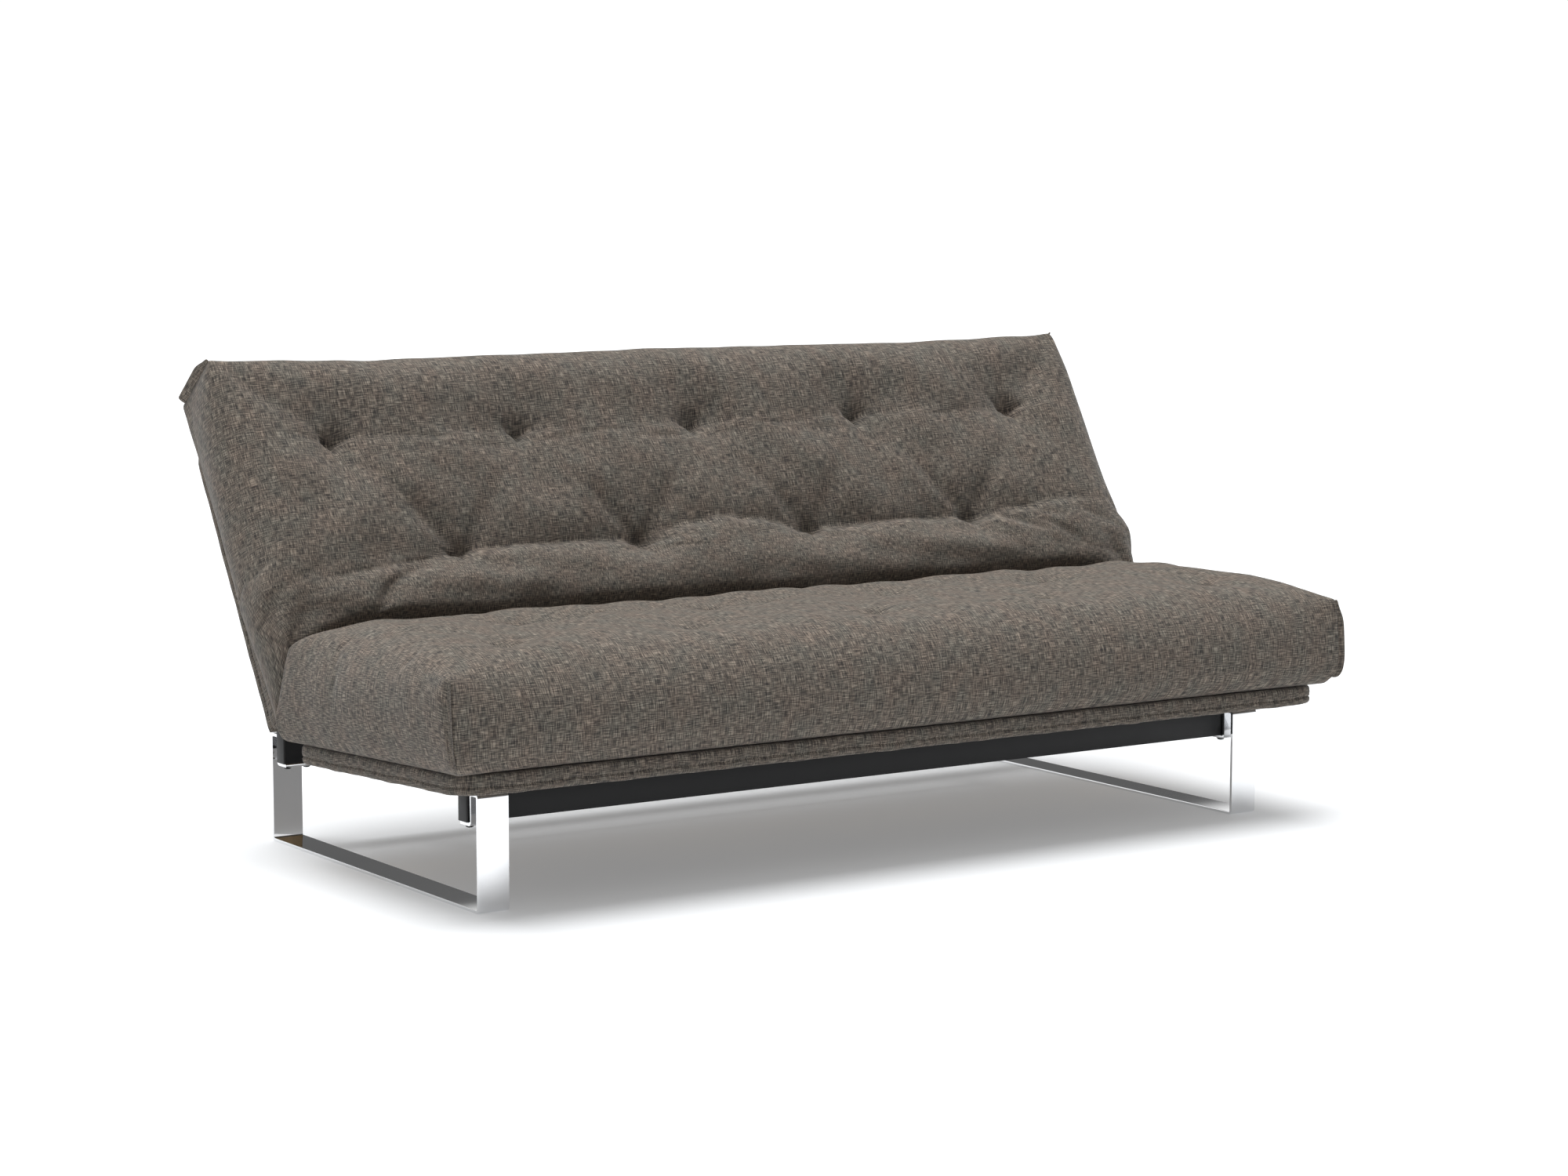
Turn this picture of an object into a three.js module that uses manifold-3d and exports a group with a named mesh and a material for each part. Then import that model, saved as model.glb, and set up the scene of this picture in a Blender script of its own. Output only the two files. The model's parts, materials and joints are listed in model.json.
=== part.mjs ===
// Futon sofa bed: a folded, tufted mattress on two upholstered platforms.
// The platforms are hinged together and ride on slotted plates over a rail frame with chrome sled legs.
// Millimetres, +Z up, X along the sofa, -Y to the front. The origin is on the floor under its middle.
import * as THREE from "three";
import { mergeVertices } from "three/addons/utils/BufferGeometryUtils.js";
import Module from "manifold-3d";

const wasm = await Module();
wasm.setup();

const TOUCH_GAP = 0.3; // left between pieces that touch
const ROUND = 24; // sides of a small cylinder

// ---- Driving dimensions ----
const FRONT = -422; // front face of the leg uprights
const LEG_DEPTH = 817; // front face to rear face of a sled leg
const LEG_HEIGHT = 210;
const LEG_INNER_X = 823;
const LEG_OUTER_X = 884;
const BAR_THICKNESS = 6;
const BEND_RADIUS = 5; // of the bar's middle line
const HOOK_DEPTH = 25; // upright to hook plate, middle to middle
const LIP_MIDDLE_Z = 153;

const RAIL_DEPTH = 30;
const RAIL_HEIGHT = 60;
const RAIL_WALL = 2;
const RAIL_BOTTOM_Z = LIP_MIDDLE_Z + BAR_THICKNESS / 2 + TOUCH_GAP;
const RAIL_TOP_Z = RAIL_BOTTOM_Z + RAIL_HEIGHT;
const RAIL_SETBACK = 48; // end face of the leg to the middle of the rail
const FRONT_RAIL_Y = FRONT + RAIL_SETBACK;
const REAR_RAIL_Y = FRONT + LEG_DEPTH - RAIL_SETBACK;

const HINGE_Y = FRONT + 573.7; // hinge line of seat and back, in the plane under the mattress
const HINGE_Z = 232.6;
const SEAT_TILT = 2.634; // degrees: the seat falls to the rear
const BACK_LEAN = 58.4; // degrees: the back above the horizontal

const PLATFORM_HALF_LENGTH = 970;
const PLATFORM_CORNER = 65; // radius in plan
const PLATFORM_EDGE = 9; // rounding of its edges
const SEAT_PLATFORM = { front: -675, rear: -17, thickness: 37 };
const BACK_PLATFORM = { low: 42, high: 660, thickness: 61 };

const MATTRESS_HALF_LENGTH = 1000;
const MATTRESS_HALF_DEPTH = 700; // hinge line to the front edge, and to the top edge
const SEAT_PADDING = 203; // height of the mattress over the seat
const BACK_PADDING = 176;
const EDGE_PADDING = 155; // height at the mattress's outer edges

const BED_FORWARD = 165; // travel of the hinge line from sofa to bed
const BED_RAISE = RAIL_TOP_Z + 4.5 + BACK_PLATFORM.thickness - HINGE_Z;

// ---- Materials ----
function finish(color, roughness, metalness) {
  return new THREE.MeshStandardMaterial({ color, roughness, metalness });
}

const CHROME = finish(0xd8dadc, 0.08, 1);
const BLACK_STEEL = finish(0x1d1d1e, 0.45, 0.3);
const ZINC_STEEL = finish(0x9a9c9e, 0.4, 0.9);
const BLACK_PLASTIC = finish(0x141414, 0.6, 0);
const RUBBER = finish(0x202020, 0.85, 0);
const FABRIC = finish(0x6a635b, 0.95, 0);
const PLYWOOD = finish(0xb08a5a, 0.7, 0);

// ---- Groups: the fixed frame, the seat and the back ----
const sofa = new THREE.Group();

function hingedGroup(tiltDegrees) {
  const group = new THREE.Group();
  group.position.set(0, HINGE_Y, HINGE_Z);
  group.rotation.x = THREE.MathUtils.degToRad(tiltDegrees);
  sofa.add(group);
  return group;
}

// In these two groups y runs away from the hinge line along the platform's upper face,
// towards the rear on the seat and towards the top on the back. z stands out of that face.
const seat = hingedGroup(-SEAT_TILT);
const back = hingedGroup(BACK_LEAN);

function add(parent, name, geometry, material) {
  const mesh = new THREE.Mesh(geometry, material);
  mesh.name = name;
  parent.add(mesh);
}

// ---- Shape helpers ----
function box(x0, x1, y0, y1, z0, z1) {
  const geometry = new THREE.BoxGeometry(x1 - x0, y1 - y0, z1 - z0);
  return geometry.translate((x0 + x1) / 2, (y0 + y1) / 2, (z0 + z1) / 2);
}

// Stands a cylinder or lathe, whose own axis is Y, along X from x0.
function alongX(geometry, x0, y, z) {
  return geometry.rotateZ(-Math.PI / 2).translate(x0, y, z);
}

function roundBar(radius, x0, x1, y, z, sides = ROUND) {
  const geometry = new THREE.CylinderGeometry(radius, radius, x1 - x0, sides);
  return alongX(geometry, (x0 + x1) / 2, y, z);
}

function ring(innerRadius, outerRadius, x0, x1, y, z) {
  const profile = [
    new THREE.Vector2(innerRadius, 0),
    new THREE.Vector2(outerRadius, 0),
    new THREE.Vector2(outerRadius, x1 - x0),
    new THREE.Vector2(innerRadius, x1 - x0),
    new THREE.Vector2(innerRadius, 0),
  ];
  return alongX(new THREE.LatheGeometry(profile, ROUND), x0, y, z);
}

// Turns a drawing in the plane of X and Y, extruded along Z, into one of Y and Z along X.
const SIDE_AXES = new THREE.Matrix4().makeBasis(
  new THREE.Vector3(0, 1, 0),
  new THREE.Vector3(0, 0, 1),
  new THREE.Vector3(1, 0, 0),
);

// A solid whose outline is drawn from the side, in Y and Z, and which runs from x0 to x1.
function sideExtrusion(shape, x0, x1) {
  const geometry = new THREE.ExtrudeGeometry(shape, { depth: x1 - x0, bevelEnabled: false });
  return geometry.applyMatrix4(SIDE_AXES).translate(x0, 0, 0);
}

function outline(points) {
  return new THREE.Shape(points.map(([y, z]) => new THREE.Vector2(y, z)));
}

function circle(radius, y, z) {
  const path = new THREE.Path();
  path.absarc(y, z, radius, 0, 2 * Math.PI);
  return path;
}

// The place on either side of the sofa: side is -1 on the left and 1 on the right.
function mirrored(side, inner, outer) {
  return side < 0 ? [-outer, -inner] : [inner, outer];
}

const SIDES = [
  ["left", -1],
  ["right", 1],
];
const RAILS = [
  ["front", FRONT_RAIL_Y],
  ["rear", REAR_RAIL_Y],
];

// ---- Cutting and joining ----
function solid(geometry) {
  const bare = geometry.index ? geometry.toNonIndexed() : geometry.clone();
  bare.deleteAttribute("normal");
  bare.deleteAttribute("uv");
  const merged = mergeVertices(bare, 1e-3);
  return new wasm.Manifold(
    new wasm.Mesh({
      numProp: 3,
      vertProperties: merged.attributes.position.array,
      triVerts: new Uint32Array(merged.index.array),
    }),
  );
}

function geometryOf(manifold) {
  const { vertProperties, triVerts } = manifold.getMesh();
  const made = new THREE.BufferGeometry();
  made.setAttribute("position", new THREE.BufferAttribute(new Float32Array(vertProperties), 3));
  made.setIndex(new THREE.BufferAttribute(new Uint32Array(triVerts), 1));
  const flat = made.toNonIndexed();
  flat.computeVertexNormals();
  return flat;
}

function cut(geometry, cutters) {
  let left = solid(geometry);
  for (const cutter of cutters) left = left.subtract(solid(cutter));
  return geometryOf(left);
}

// ---- Sled legs: one flat bar each, bent to a runner with two uprights and a hook round each rail ----
const SCREW_SPACING = 40; // between the two screws under a hook
const SCREW_SHANK_RADIUS = 4;
const SCREW_CLEARANCE = 0.4;

function upright(x, y, radius, z0, z1) {
  const geometry = new THREE.CylinderGeometry(radius, radius, z1 - z0, ROUND / 2);
  return geometry.rotateX(Math.PI / 2).translate(x, y, (z0 + z1) / 2);
}

function screwPlaces(side) {
  const middle = (side * (LEG_INNER_X + LEG_OUTER_X)) / 2;
  return [middle - SCREW_SPACING / 2, middle + SCREW_SPACING / 2];
}

// Rounds the corners of a bent bar's middle line, then sets its two faces off to each side.
function bentBar(corners, thickness, radius) {
  const points = corners.map(([y, z]) => new THREE.Vector2(y, z));
  const faces = [[], []];
  const arcSteps = 5;
  const setOff = (point, direction) => {
    const normal = new THREE.Vector2(-direction.y, direction.x);
    faces[0].push(point.clone().addScaledVector(normal, thickness / 2));
    faces[1].push(point.clone().addScaledVector(normal, -thickness / 2));
  };
  points.forEach((point, i) => {
    const before = i > 0 ? point.clone().sub(points[i - 1]).normalize() : null;
    const after = i < points.length - 1 ? points[i + 1].clone().sub(point).normalize() : null;
    if (!before || !after) {
      setOff(point, before || after);
      return;
    }
    const turn = Math.sign(before.cross(after)) * (Math.PI / 2);
    const start = point.clone().addScaledVector(before, -radius);
    const centre = start.clone().addScaledVector(after, radius);
    for (let step = 0; step <= arcSteps; step++) {
      const angle = (turn * step) / arcSteps;
      const spoke = start.clone().sub(centre).rotateAround(new THREE.Vector2(), angle);
      setOff(centre.clone().add(spoke), before.clone().rotateAround(new THREE.Vector2(), angle));
    }
  });
  return new THREE.Shape([...faces[0], ...faces[1].reverse()]);
}

function sledLeg(side) {
  const half = BAR_THICKNESS / 2;
  const frontY = FRONT + half;
  const rearY = FRONT + LEG_DEPTH - half;
  const roofZ = LEG_HEIGHT - half;
  const bar = bentBar(
    [
      [FRONT_RAIL_Y + RAIL_DEPTH / 2, LIP_MIDDLE_Z],
      [frontY + HOOK_DEPTH, LIP_MIDDLE_Z],
      [frontY + HOOK_DEPTH, roofZ],
      [frontY, roofZ],
      [frontY, half],
      [rearY, half],
      [rearY, roofZ],
      [rearY - HOOK_DEPTH, roofZ],
      [rearY - HOOK_DEPTH, LIP_MIDDLE_Z],
      [REAR_RAIL_Y - RAIL_DEPTH / 2, LIP_MIDDLE_Z],
    ],
    BAR_THICKNESS,
    BEND_RADIUS,
  );
  const holes = RAILS.flatMap(([, y]) =>
    screwPlaces(side).map((x) =>
      upright(x, y, SCREW_SHANK_RADIUS + SCREW_CLEARANCE, LIP_MIDDLE_Z - 10, LIP_MIDDLE_Z + 10),
    ),
  );
  return cut(sideExtrusion(bar, ...mirrored(side, LEG_INNER_X, LEG_OUTER_X)), holes);
}

// A button-head screw, pointing up.
function legScrew(x, y) {
  const headRadius = 8;
  const headHeight = 4.6;
  const shankLength = 20;
  const profile = [
    [0, -headHeight],
    [4.5, -headHeight],
    [6.6, -3.6],
    [headRadius, -1],
    [headRadius, 0],
    [SCREW_SHANK_RADIUS, 0],
    [SCREW_SHANK_RADIUS, shankLength - 1],
    [SCREW_SHANK_RADIUS - 1, shankLength],
    [0, shankLength],
  ].map(([radius, height]) => new THREE.Vector2(radius, height));
  const seatZ = LIP_MIDDLE_Z - BAR_THICKNESS / 2 - TOUCH_GAP;
  return new THREE.LatheGeometry(profile, ROUND).rotateX(Math.PI / 2).translate(x, y, seatZ);
}

for (const [sideName, side] of SIDES) {
  add(sofa, `sled_leg_${sideName}`, sledLeg(side), CHROME);
  for (const [railName, railY] of RAILS) {
    screwPlaces(side).forEach((x, i) => {
      add(sofa, `leg_screw_${railName}_${sideName}_${i + 1}`, legScrew(x, railY), BLACK_STEEL);
    });
  }
}

// ---- Rails: two rectangular tubes, closed by plastic end caps ----
const RAIL_HALF_LENGTH = LEG_OUTER_X;
const CAP_THICKNESS = 4;
const CAP_PLUG_DEPTH = 15;
const CAP_PLUG_LOW = 20; // the plug passes over the leg screws

function squareTube(x0, x1, y0, y1, z0, z1, wall) {
  const inside = box(x0 - 1, x1 + 1, y0 + wall, y1 - wall, z0 + wall, z1 - wall);
  return cut(box(x0, x1, y0, y1, z0, z1), [inside]);
}

function rail(middleY) {
  const tube = squareTube(
    -RAIL_HALF_LENGTH,
    RAIL_HALF_LENGTH,
    middleY - RAIL_DEPTH / 2,
    middleY + RAIL_DEPTH / 2,
    RAIL_BOTTOM_Z,
    RAIL_TOP_Z,
    RAIL_WALL,
  );
  const holes = SIDES.flatMap(([, side]) =>
    screwPlaces(side).map((x) =>
      upright(x, middleY, SCREW_SHANK_RADIUS + SCREW_CLEARANCE, RAIL_BOTTOM_Z - 5, RAIL_BOTTOM_Z + 5),
    ),
  );
  return cut(tube, holes);
}

function railCap(middleY, side) {
  const halfDepth = RAIL_DEPTH / 2;
  const inset = RAIL_WALL + TOUCH_GAP;
  const faceX = RAIL_HALF_LENGTH + TOUCH_GAP;
  const [faceX0, faceX1] = mirrored(side, faceX, faceX + CAP_THICKNESS);
  const [plugX0, plugX1] = mirrored(side, faceX - CAP_PLUG_DEPTH, faceX + CAP_THICKNESS / 2);
  const face = box(faceX0, faceX1, middleY - halfDepth, middleY + halfDepth, RAIL_BOTTOM_Z, RAIL_TOP_Z);
  const plug = box(
    plugX0,
    plugX1,
    middleY - halfDepth + inset,
    middleY + halfDepth - inset,
    RAIL_BOTTOM_Z + CAP_PLUG_LOW,
    RAIL_TOP_Z - inset,
  );
  return geometryOf(solid(face).add(solid(plug)));
}

const BUMPER_X = [-480, 480];
const BUMPER_HEIGHT = 2.4;

for (const [railName, railY] of RAILS) {
  add(sofa, `${railName}_rail`, rail(railY), BLACK_STEEL);
  for (const [sideName, side] of SIDES) {
    add(sofa, `rail_cap_${railName}_${sideName}`, railCap(railY, side), BLACK_PLASTIC);
  }
  BUMPER_X.forEach((x, i) => {
    const pad = box(
      x - 20,
      x + 20,
      railY - 10,
      railY + 10,
      RAIL_TOP_Z + TOUCH_GAP,
      RAIL_TOP_Z + TOUCH_GAP + BUMPER_HEIGHT,
    );
    add(sofa, `rail_bumper_${railName}_${SIDES[i][0]}`, pad, RUBBER);
  });
}

// ---- Guides: sliding bushes on the side beams, in slots of the seat's two plates ----
const PLATE_X = [600, 606]; // inner and outer face, mirrored to each side
const BEAM_X = [608, 638];
const BEAM_Z = [RAIL_BOTTOM_Z + 1, RAIL_BOTTOM_Z + 37];
const BEAM_WALL = 2;
const GUIDE_Z = RAIL_BOTTOM_Z + 22;
const LOCK_PIVOT_Y = FRONT + 706;
const GUIDES_Y = { front: FRONT + 255, rear: FRONT + 465 };
const AXLE_RADIUS = 5;
const GUIDE_RADIUS = 8.5;
const SLOT_RADIUS = 9;
const RUNNING_GAP = 0.1;

// The seat swings about a far-off line under the floor, so its slots are short arcs of great circles.
const TILT = THREE.MathUtils.degToRad(SEAT_TILT);
const CHORD = new THREE.Vector2(-BED_FORWARD, BED_RAISE);
const SWING_CENTRE = new THREE.Vector2(HINGE_Y, HINGE_Z)
  .addScaledVector(CHORD, 0.5)
  .addScaledVector(new THREE.Vector2(-CHORD.y, CHORD.x), 0.5 / Math.tan(TILT / 2));

function seatPoint(y, z) {
  const point = new THREE.Vector2(y - HINGE_Y, z - HINGE_Z);
  return point.rotateAround(new THREE.Vector2(), TILT);
}

// The slot that a fixed bush needs, drawn in the seat group's plane.
function slotPath(guideY) {
  const steps = 6;
  const sides = [[], []];
  const ends = [];
  for (let step = 0; step <= steps; step++) {
    const spoke = new THREE.Vector2(guideY, GUIDE_Z).sub(SWING_CENTRE);
    spoke.rotateAround(new THREE.Vector2(), (-TILT * step) / steps);
    const outwards = spoke.clone().normalize();
    const middle = spoke.add(SWING_CENTRE);
    for (const [i, sign] of [
      [0, 1],
      [1, -1],
    ]) {
      const edge = middle.clone().addScaledVector(outwards, sign * SLOT_RADIUS);
      sides[i].push(seatPoint(edge.x, edge.y));
    }
    ends.push({ middle, outwards });
  }
  const endArc = ({ middle, outwards }, turn) => {
    const arcSteps = 8;
    const arc = [];
    for (let step = 1; step < arcSteps; step++) {
      const spoke = outwards.clone().multiplyScalar(SLOT_RADIUS);
      spoke.rotateAround(new THREE.Vector2(), turn + (Math.PI * step) / arcSteps);
      arc.push(seatPoint(middle.x + spoke.x, middle.y + spoke.y));
    }
    return arc;
  };
  const frontArc = endArc(ends[0], 0);
  const rearArc = endArc(ends[steps], Math.PI);
  return new THREE.Path([...sides[0].reverse(), ...frontArc, ...sides[1], ...rearArc]);
}

const HINGE_LUG_RADIUS = 14;
const BUSH_RADIUS = 7;
const HINGE_PIN_RADIUS = 5;

function lugArc(fromDegrees, toDegrees) {
  const steps = 8;
  const points = [];
  for (let step = 0; step <= steps; step++) {
    const angle = THREE.MathUtils.degToRad(fromDegrees + ((toDegrees - fromDegrees) * step) / steps);
    points.push([HINGE_LUG_RADIUS * Math.cos(angle), HINGE_LUG_RADIUS * Math.sin(angle)]);
  }
  return points;
}

function glidePlate(side) {
  const top = -SEAT_PLATFORM.thickness - TOUCH_GAP;
  const shape = outline([
    [-334, top],
    [-334, -86],
    [-160, -122],
    [66, -122],
    [78, -110],
    [78, -65],
    [66, -65],
    [60, -86],
    [50, -86],
    [30, -62],
    ...lugArc(-10, 170),
    [-14, top],
  ]);
  shape.holes.push(slotPath(GUIDES_Y.front), slotPath(GUIDES_Y.rear), circle(BUSH_RADIUS + 0.1, 0, 0));
  return sideExtrusion(shape, ...mirrored(side, ...PLATE_X));
}

function sideBeam(side) {
  const [x0, x1] = mirrored(side, ...BEAM_X);
  const y0 = FRONT_RAIL_Y + RAIL_DEPTH / 2 + TOUCH_GAP;
  const y1 = REAR_RAIL_Y - RAIL_DEPTH / 2 - TOUCH_GAP;
  const tube = cut(box(x0, x1, y0, y1, ...BEAM_Z), [
    box(x0 + BEAM_WALL, x1 - BEAM_WALL, y0 - 1, y1 + 1, BEAM_Z[0] + BEAM_WALL, BEAM_Z[1] - BEAM_WALL),
  ]);
  const places = [...Object.values(GUIDES_Y), LOCK_PIVOT_Y];
  const holes = places.map((y) => roundBar(AXLE_RADIUS + 0.3, x0 - 1, x1 + 1, y, GUIDE_Z));
  return cut(tube, holes);
}

// A shouldered axle: its head holds the piece on it, and its shank runs out through the beam.
function axle(side, y) {
  const headRadius = 10;
  const innerX = PLATE_X[0] - 6;
  const profile = [
    [0, 0],
    [headRadius, 0],
    [headRadius, 4],
    [AXLE_RADIUS, 4],
    [AXLE_RADIUS, BEAM_X[1] - innerX + 3],
    [0, BEAM_X[1] - innerX + 3],
  ].map(([radius, along]) => new THREE.Vector2(radius, along));
  const geometry = alongX(new THREE.LatheGeometry(profile, ROUND), innerX, y, GUIDE_Z);
  return side > 0 ? geometry : geometry.rotateZ(Math.PI).translate(0, 2 * y, 0);
}

for (const [sideName, side] of SIDES) {
  add(sofa, `side_beam_${sideName}`, sideBeam(side), BLACK_STEEL);
  add(seat, `glide_plate_${sideName}`, glidePlate(side), ZINC_STEEL);
  for (const [place, y] of Object.entries(GUIDES_Y)) {
    const [x0, x1] = mirrored(side, PLATE_X[0] - 0.5, PLATE_X[1] + 0.5);
    const bush = ring(AXLE_RADIUS + RUNNING_GAP, GUIDE_RADIUS, x0, x1, y, GUIDE_Z);
    add(sofa, `guide_axle_${place}_${sideName}`, axle(side, y), ZINC_STEEL);
    add(sofa, `guide_bush_${place}_${sideName}`, bush, BLACK_PLASTIC);
  }
}

// ---- Lock: two pawls on one release rod, stored lifted clear of the plates' rear ends ----
const PAWL_LIFT = 32; // degrees from hooked in to lifted
const ROD_RADIUS = 5;
const ROD_PLACE = [-34, 1.5]; // from the pawl's pivot, y and z

function pawl(side) {
  // Drawn hooked in, from its pivot, then turned up about it.
  const shape = outline([
    [-9, -8],
    [8, -8],
    [10, 0],
    [6, 9],
    [-8, 11],
    [-66, 6],
    [-84, -6],
    [-84, -22],
    [-76, -22],
    [-72, -10],
    [-44, -5],
  ]);
  shape.holes.push(circle(AXLE_RADIUS + RUNNING_GAP, 0, 0), circle(ROD_RADIUS + TOUCH_GAP, ...ROD_PLACE));
  return sideExtrusion(shape, ...mirrored(side, ...PLATE_X));
}

const lock = new THREE.Group();
lock.position.set(0, LOCK_PIVOT_Y, GUIDE_Z);
lock.rotation.x = THREE.MathUtils.degToRad(-PAWL_LIFT);
sofa.add(lock);
for (const [sideName, side] of SIDES) {
  add(lock, `lock_pawl_${sideName}`, pawl(side), ZINC_STEEL);
  add(sofa, `lock_pivot_${sideName}`, axle(side, LOCK_PIVOT_Y), ZINC_STEEL);
}
const rodEnd = PLATE_X[1] + 1;
add(lock, "lock_release_rod", roundBar(ROD_RADIUS, -rodEnd, rodEnd, ...ROD_PLACE), BLACK_STEEL);

// ---- Seat: cross tubes, board and cover ----
function roundedPlan(halfX, y0, y1, radius) {
  const shape = new THREE.Shape();
  const corners = [
    [halfX - radius, y0 + radius, -Math.PI / 2],
    [halfX - radius, y1 - radius, 0],
    [radius - halfX, y1 - radius, Math.PI / 2],
    [radius - halfX, y0 + radius, Math.PI],
  ];
  const steps = 6;
  const points = corners.flatMap(([x, y, from]) =>
    Array.from({ length: steps + 1 }, (_, step) => {
      const angle = from + (Math.PI / 2) * (step / steps);
      return new THREE.Vector2(x + radius * Math.cos(angle), y + radius * Math.sin(angle));
    }),
  );
  shape.setFromPoints(points);
  return shape;
}

// An upholstered slab with its upper face at z = 0.
function slab(halfX, y0, y1, thickness) {
  const plan = roundedPlan(
    halfX - PLATFORM_EDGE,
    y0 + PLATFORM_EDGE,
    y1 - PLATFORM_EDGE,
    PLATFORM_CORNER - PLATFORM_EDGE,
  );
  const geometry = new THREE.ExtrudeGeometry(plan, {
    depth: thickness - 2 * PLATFORM_EDGE,
    bevelEnabled: true,
    bevelThickness: PLATFORM_EDGE,
    bevelSize: PLATFORM_EDGE,
    bevelSegments: 3,
  });
  return geometry.translate(0, 0, PLATFORM_EDGE - thickness);
}

const BOARD_INSET = 30; // from the platform's outline to the board inside
const SEAT_BOARD_Z = [-SEAT_PLATFORM.thickness, -12];
const BOARD_HALF_LENGTH = PLATFORM_HALF_LENGTH - BOARD_INSET;
const CROSS_TUBE = 25;

function seatBoardBox(grow) {
  return box(
    -BOARD_HALF_LENGTH - grow,
    BOARD_HALF_LENGTH + grow,
    SEAT_PLATFORM.front + BOARD_INSET - grow,
    SEAT_PLATFORM.rear - BOARD_INSET + grow,
    SEAT_BOARD_Z[0] - grow,
    SEAT_BOARD_Z[1] + grow,
  );
}

// A padded tray of fabric, drawn down over the board and open under it.
function seatCover() {
  const { front, rear, thickness } = SEAT_PLATFORM;
  return cut(slab(PLATFORM_HALF_LENGTH, front, rear, thickness), [seatBoardBox(TOUCH_GAP)]);
}

function crossTube(y) {
  const end = PLATE_X[0] - TOUCH_GAP;
  const top = -SEAT_PLATFORM.thickness - TOUCH_GAP;
  return squareTube(-end, end, y, y + CROSS_TUBE, top - CROSS_TUBE, top, RAIL_WALL);
}

add(seat, "seat_board", seatBoardBox(0), PLYWOOD);
add(seat, "seat_cover", seatCover(), FABRIC);
add(seat, "seat_front_tube", crossTube(-288), BLACK_STEEL);
add(seat, "seat_rear_tube", crossTube(-52), BLACK_STEEL);

// ---- Back: arms from the hinge, board and sleeve cover ----
const ARM_X = [607, 613];
const ARM_Z = [-40, -20];
const ARM_REACH = 320;
const BACK_BOARD = { low: 50, high: BACK_PLATFORM.high - BOARD_INSET, z: [-46, -14] };

function backArm(side) {
  const shape = outline([
    ...lugArc(55, 215),
    [20, ARM_Z[0] - 3],
    [44, ARM_Z[0]],
    [ARM_REACH, ARM_Z[0]],
    [ARM_REACH, ARM_Z[1]],
    [44, ARM_Z[1]],
    [24, -12],
  ]);
  shape.holes.push(circle(BUSH_RADIUS + 0.1, 0, 0));
  return sideExtrusion(shape, ...mirrored(side, ...ARM_X));
}

function backBoardBox(grow, low) {
  return box(
    -BOARD_HALF_LENGTH - grow,
    BOARD_HALF_LENGTH + grow,
    low,
    BACK_BOARD.high + grow,
    BACK_BOARD.z[0] - grow,
    BACK_BOARD.z[1] + grow,
  );
}

function backBoard() {
  const sockets = SIDES.map(([, side]) => {
    const [x0, x1] = mirrored(side, ARM_X[0] - 0.5, ARM_X[1] + 0.5);
    return box(x0, x1, BACK_BOARD.low - 1, ARM_REACH + 1, ARM_Z[0] - 0.5, ARM_Z[1] + 0.5);
  });
  return cut(backBoardBox(0, BACK_BOARD.low), sockets);
}

// A padded sleeve, open at its lower end, where the board and the arms come out.
function backCover() {
  const { low, high, thickness } = BACK_PLATFORM;
  return cut(slab(PLATFORM_HALF_LENGTH, low, high, thickness), [backBoardBox(TOUCH_GAP, low - 1)]);
}

add(back, "back_board", backBoard(), PLYWOOD);
add(back, "back_cover", backCover(), FABRIC);

for (const [sideName, side] of SIDES) {
  add(back, `back_arm_${sideName}`, backArm(side), ZINC_STEEL);
  const [bushX0, bushX1] = mirrored(side, PLATE_X[0], ARM_X[1]);
  const bush = ring(HINGE_PIN_RADIUS + RUNNING_GAP, BUSH_RADIUS, bushX0, bushX1, 0, 0);
  add(seat, `hinge_bush_${sideName}`, bush, BLACK_PLASTIC);
  const [pinX0, pinX1] = mirrored(side, PLATE_X[0] - 8, ARM_X[1] + 8);
  add(seat, `hinge_pin_${sideName}`, roundBar(HINGE_PIN_RADIUS, pinX0, pinX1, 0, 0), ZINC_STEEL);
}

// ---- Mattress: one piece folded over the hinge line, modelled as its two halves ----
const CREASE_IN_SEAT = new THREE.Vector2(-76.6, 213);
const CREASE_IN_BACK = new THREE.Vector2(149.4, 170.2);
const FOLD_RELIEF = 32; // kept clear of the hinge
const FOLD_GAP = 1; // half of the gap between the halves

function foldPoint(crease, distance, side) {
  const along = crease.clone().normalize();
  const across = new THREE.Vector2(-along.y, along.x).multiplyScalar(side * FOLD_GAP);
  return along.multiplyScalar(distance).add(across).toArray();
}

// A profile drawn in its platform's plane, run along the sofa with softened ends.
function mattressHalf(points) {
  const endSoftening = 20;
  const shape = outline(points);
  const geometry = new THREE.ExtrudeGeometry(shape, {
    depth: 2 * (MATTRESS_HALF_LENGTH - endSoftening),
    bevelEnabled: true,
    bevelThickness: endSoftening,
    bevelSize: endSoftening,
    bevelOffset: -endSoftening,
    bevelSegments: 2,
  });
  return geometry.applyMatrix4(SIDE_AXES).translate(endSoftening - MATTRESS_HALF_LENGTH, 0, 0);
}

const front = -MATTRESS_HALF_DEPTH;
const mattressSeat = mattressHalf([
  foldPoint(CREASE_IN_SEAT, FOLD_RELIEF, 1),
  [-FOLD_RELIEF - 12, TOUCH_GAP],
  [front + 36, TOUCH_GAP],
  [front + 10, 12],
  [front, 36],
  [front, EDGE_PADDING - 10],
  [front + 12, EDGE_PADDING + 16],
  [front + 50, SEAT_PADDING - 10],
  [front + 130, SEAT_PADDING],
  [CREASE_IN_SEAT.x - 30, SEAT_PADDING],
  foldPoint(CREASE_IN_SEAT, CREASE_IN_SEAT.length() - 20, 1),
].reverse());

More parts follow.
